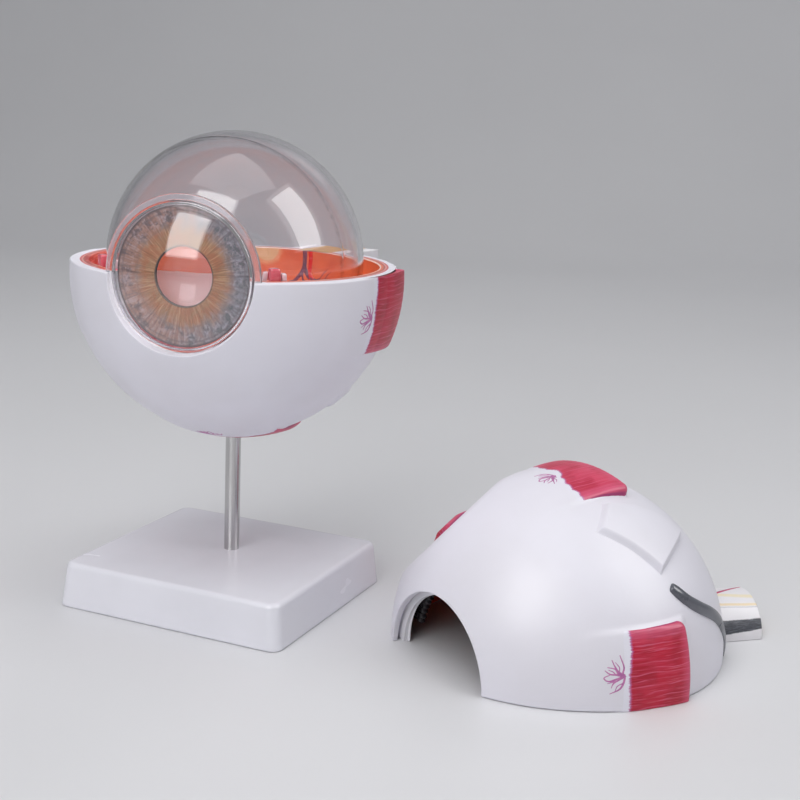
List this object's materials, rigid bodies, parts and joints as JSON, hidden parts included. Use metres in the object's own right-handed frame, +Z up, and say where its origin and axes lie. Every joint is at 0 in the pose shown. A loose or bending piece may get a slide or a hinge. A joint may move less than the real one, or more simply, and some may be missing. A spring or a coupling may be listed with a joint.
{
  "type": "eye anatomy model",
  "caption": "Take-apart teaching model of a human eye on a rod and square stand, with clear cornea and vitreous ball; the upper half shell lies beside it.",
  "frame": {"origin": "foot of the support rod's axis, in the plane of the base's underside and of the table", "axes": "+Z up along the support rod, +X from the stand towards the upper shell that lies beside it, -Y out of the front edge of the base"},
  "size_m": [0.3118, 0.1695, 0.2122],
  "materials": {
    "stand_plastic": "satin gloss white",
    "rod_steel": "polished",
    "screw_steel": "plain",
    "sclera_plastic": "satin gloss, cool white",
    "choroid_paint": "painted red",
    "retina_paint": "painted orange, glossy",
    "ciliary_paint": "painted pink-red, glossy",
    "muscle_paint": "hand-brushed crimson",
    "nerve_plastic": "white with painted stripes",
    "nerve_paint": "painted golden yellow",
    "vein_paint": "painted slate grey",
    "vitreous_clear": "clear",
    "lens_clear": "clear",
    "cornea_clear": "clear",
    "iris_paint": "printed blue-grey and amber"
  },
  "bodies": {
    "stand": {"base_plate": "stand_plastic", "support_rod": "rod_steel", "base_washer": "screw_steel", "base_screw": "screw_steel"},
    "globe": {"rod_socket": "retina_paint", "lower_sclera": "sclera_plastic", "lower_choroid": "choroid_paint", "lower_retina": "retina_paint", "lower_ciliary_ring": "ciliary_paint", "medial_rectus_lower": "muscle_paint", "lateral_rectus_lower": "muscle_paint", "inferior_rectus": "muscle_paint", "inferior_oblique": "sclera_plastic", "optic_nerve_lower": "nerve_plastic", "nerve_core_lower": "nerve_paint"},
    "vitreous": {"vitreous_front": "vitreous_clear", "vitreous_rear": "vitreous_clear", "lens": "lens_clear"},
    "iris": {"iris": "iris_paint"},
    "cornea": {"cornea": "cornea_clear"},
    "lid": {"upper_sclera": "sclera_plastic", "upper_choroid": "choroid_paint", "upper_retina": "retina_paint", "upper_ciliary_ring": "ciliary_paint", "medial_rectus_upper": "muscle_paint", "lateral_rectus_upper": "muscle_paint", "superior_rectus": "muscle_paint", "superior_oblique": "sclera_plastic", "vortex_vein": "vein_paint", "optic_nerve_upper": "nerve_plastic", "nerve_core_upper": "nerve_paint"}
  },
  "joints": [
    {"name": "globe_swivel", "type": "hinge", "parent": "stand", "child": "globe", "pos_m": [0, 0, 0.08], "axis": [0, 0, 1], "continuous": true},
    {"name": "vitreous_lift", "type": "slide", "parent": "globe", "child": "vitreous", "axis": [0, 0, 1], "range_m": [0, 0.085]},
    {"name": "iris_lift", "type": "slide", "parent": "globe", "child": "iris", "axis": [0, 0, 1], "range_m": [0, 0.06]},
    {"name": "cornea_lift", "type": "slide", "parent": "globe", "child": "cornea", "axis": [0, 0, 1], "range_m": [0, 0.07]},
    {"name": "lid_lift", "type": "slide", "parent": "stand", "child": "lid", "axis": [0, 0, 1], "range_m": [0, 0.16]}
  ]
}
